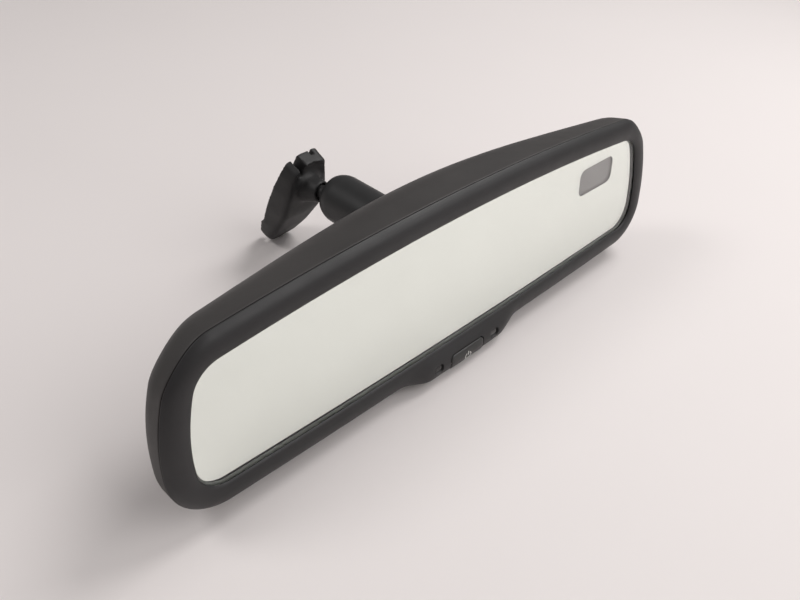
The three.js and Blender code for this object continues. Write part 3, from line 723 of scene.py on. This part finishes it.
# ---------------------------------------------------------------- foot
# Its side view as (y, z), and the right edge of its front view as (x, z).
FOOT_SIDE = (
    (FOOT_FACE, 8), (20.4, 8), (19.8, -5), (17.6, -13), (16.6, -25), (19.2, -39), (21.8, -48),
    (24, -51.6), (25.2, -52.6), (28.7, -52.6), (29.7, -51.1), (29.7, -40),
    (FOOT_FACE, -37),
)
FOOT_EDGE = (
    (10.7, -5.1), (12.2, -14), (12.3, -25), (11, -38), (8.8, -47), (6.6, -50.6), (3.6, -52.2),
)


def prism(outline, left, right):
    """An outline of (y, z) pairs drawn from one x to another."""
    return lofted([[(x, y, z) for y, z in outline] for x in (left, right)])


def slab(loop, front, back):
    """A loop of (x, z) pairs drawn from one depth to another."""
    return lofted([[(x, y, z) for x, z in loop] for y in (front, back)])


def notch(x, top_width, root_width, depth, front):
    top, root = top_width / 2, root_width / 2
    low = FOOT_TOP - depth
    return slab([(x - top, 9), (x + top, 9), (x + root, low), (x - root, low)], front, 40)


def foot_loop():
    left = [(-x, z) for x, z in reversed(FOOT_EDGE)]
    right = [(7, FOOT_TOP), (8.4, 1.8), *FOOT_EDGE, (0, -52.6)]
    return [*right, *left, (-9.2, -0.6), (-4, FOOT_TOP)]


def remeshed(made, voxel, rounds, shares=None):
    """Rebuilds a solid on a fine grid and smooths it, by each vertex's share if given."""
    remesh = made.modifiers.new("grid", "REMESH")
    remesh.mode = "VOXEL"
    remesh.voxel_size = voxel * MM
    bake(made)
    smooth = made.modifiers.new("smooth", "SMOOTH")
    smooth.factor = 0.5
    smooth.iterations = rounds
    if shares:
        group = made.vertex_groups.new(name="share")
        for vertex in made.data.vertices:
            group.add([vertex.index], shares(vertex.co), "REPLACE")
        smooth.vertex_group = group.name
    bake(made)
    made.vertex_groups.clear()


def front_share(point):
    """How freely the cast front may round off. The mounting face stays true."""
    depth = (FOOT.inverted() @ point).y
    return float(smoothstep(27.5 - depth, 0, 4))


def make_foot():
    """A cast body with well rounded front edges, then its cuts and the boss round the neck."""
    cast = piece("mount_foot_casting", prism(FOOT_SIDE, -20, 20), FOOT, CAST, None)
    combine(cast, [slab(foot_loop(), 5, 40)], FOOT, "INTERSECT")
    remeshed(cast, 0.6, 60, front_share)
    middle = CHANNEL_TOP - CHANNEL_HEIGHT / 2
    cuts = [
        notch(-5, 4.8, 2.6, 6.5, 0),
        notch(4.2, 2.6, 1.4, 5, 25.6),
        block(9, CHANNEL_HEIGHT, 27.1, 30.5, 0, middle),
        block(12.6, CHANNEL_HEIGHT, 25.1, 27.2, 0, middle),
        block(6, 12, 24.2, 25.2, 0, CHANNEL_TOP - 10),
    ]
    combine(cast, cuts, FOOT, "DIFFERENCE")
    groove = turned([(9.2 + r, y) for r, y in arc(3.4, 0, 360, 24, 17.2)])
    combine(cast, [groove], FOOT_STUD, "DIFFERENCE")
    boss = [(0, 12.8), (4.4, 12.8), (4.9, 13.2), (5.6, 17), (7.6, 24), (0, 24)]
    combine(cast, [turned(boss)], FOOT_STUD, "UNION")
    socket = [(0, 10), (3.9, 10), (3.9, 24.8), (0, 24.8)]
    combine(cast, [turned(socket)], FOOT_STUD, "DIFFERENCE")
    remeshed(cast, 0.35, 16, front_share)
    dress(cast, CAST, 80)
    settle(cast, "mount_foot", ["mount_foot"])


# ---------------------------------------------------------------- small parts
def make_lens():
    dome = [(0, 13.9), (3.8, 13.9), *[(r, 30.7 + y) for r, y in arc(3.8, 90, 4, 14)], (0, 34.5)]
    piece("ambient_lens_dome", turned(dome, 64, AMBIENT[:2]), HEAD, LENS, "head",
          ["ambient_lens"])


CARRIED_OVER = {
    "front_glass": GLASS, "rear_glass": SMOKED, "bus_clip_upper": TIN, "bus_clip_lower": TIN,
    "adhesive_pad": FOAM, "carrier_plate": CARRIER, "display_mask": SMOKED,
    "display_module": CHIP, "circuit_board": BOARD, "controller_chip": CHIP,
    "compass_sensor": CHIP, "glass_driver": CHIP, "inductor": CHIP, "capacitor_1": TIN,
    "capacitor_2": TIN, "connector_header": NYLON, "ambient_sensor": CHIP,
    "indicator_led": CHIP, "glare_sensor": CHIP, "button_switch": CHIP,
    "pivot_plate": STEEL, "head_spring_washer": STEEL, "arm_spring": STEEL,
    "foot_spring_washer": STEEL, "retention_spring": STEEL,
    **{f"connector_pin_{n}": TIN for n in range(1, 6)},
    **{f"pivot_screw_{n}": STEEL for n in range(1, 5)},
}


def dress_carried_over():
    for name, finish in CARRIED_OVER.items():
        for holder in frame["nodes"][name].material_slots:
            holder.material = finish


# ---------------------------------------------------------------- stage
AIM = HEAD @ Vector((-20.2, 13.1, -6.5))
VIEW = {"azimuth": -138.276, "elevation": 40.268, "roll": 5.996, "distance": 0.29555}
SENSOR_WIDTH = 36
FOCAL_LENGTH = 34.2
FLOOR_HALF = 4
LAMP_COLOUR = (1, 0.985, 0.975)
ROOM_COLOUR = (1, 0.965, 0.955, 1)
ROOM_STRENGTH = 0.25


def spherical(azimuth, elevation):
    a, e = math.radians(azimuth), math.radians(elevation)
    return Vector((math.cos(e) * math.cos(a), math.cos(e) * math.sin(a), math.sin(e)))


def make_camera():
    data = bpy.data.cameras.new("camera")
    data.sensor_width = SENSOR_WIDTH
    data.lens = FOCAL_LENGTH
    data.clip_start = 0.005
    camera = bpy.data.objects.new("camera", data)
    bpy.context.scene.collection.objects.link(camera)
    away = spherical(VIEW["azimuth"], VIEW["elevation"])
    turn = away.to_track_quat("Z", "Y").to_matrix().to_4x4()
    roll = Matrix.Rotation(math.radians(VIEW["roll"]), 4, "Z")
    camera.matrix_world = Matrix.Translation(AIM + away * VIEW["distance"]) @ turn @ roll
    bpy.context.scene.camera = camera


def make_floor():
    low = min(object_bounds()[0].z, CAD_BOX[0].z)
    mesh = bpy.data.meshes.new("floor")
    signs = ((-1, -1), (1, -1), (1, 1), (-1, 1))
    corners = [(x * FLOOR_HALF, y * FLOOR_HALF, low) for x, y in signs]
    mesh.from_pydata(corners, [], [(0, 1, 2, 3)])
    floor = bpy.data.objects.new("floor", mesh)
    bpy.context.scene.collection.objects.link(floor)
    paper = material("floor_paper", (0.80, 0.755, 0.745), 0.75, patch=300, contrast=0.015,
                     relief=0)
    mesh.materials.append(paper)


def area_light(name, azimuth, elevation, distance, size, power):
    data = bpy.data.lights.new(name, "AREA")
    data.shape = "DISK"
    data.size = size
    data.energy = power
    data.color = LAMP_COLOUR
    light = bpy.data.objects.new(name, data)
    bpy.context.scene.collection.objects.link(light)
    away = spherical(azimuth, elevation)
    turn = away.to_track_quat("Z", "Y").to_matrix().to_4x4()
    light.matrix_world = Matrix.Translation(AIM + away * distance) @ turn


def make_lights():
    area_light("key", 0, 52, 1.0, 0.5, 4.6)
    area_light("window", 140, 50, 1.0, 0.35, 2.0)
    area_light("fill", -62, 42, 0.9, 0.8, 3.6)
    world = bpy.data.worlds.new("room")
    world.use_nodes = True
    background = world.node_tree.nodes["Background"]
    background.inputs["Color"].default_value = ROOM_COLOUR
    background.inputs["Strength"].default_value = ROOM_STRENGTH
    bpy.context.scene.world = world
    bpy.context.scene.view_settings.view_transform = "Standard"


make_camera()
make_bezel()
make_power_mark()
make_casing()
make_glass()
make_tube()
make_studs()
make_seats()
make_foot()
make_lens()
dress_carried_over()
make_floor()
make_lights()
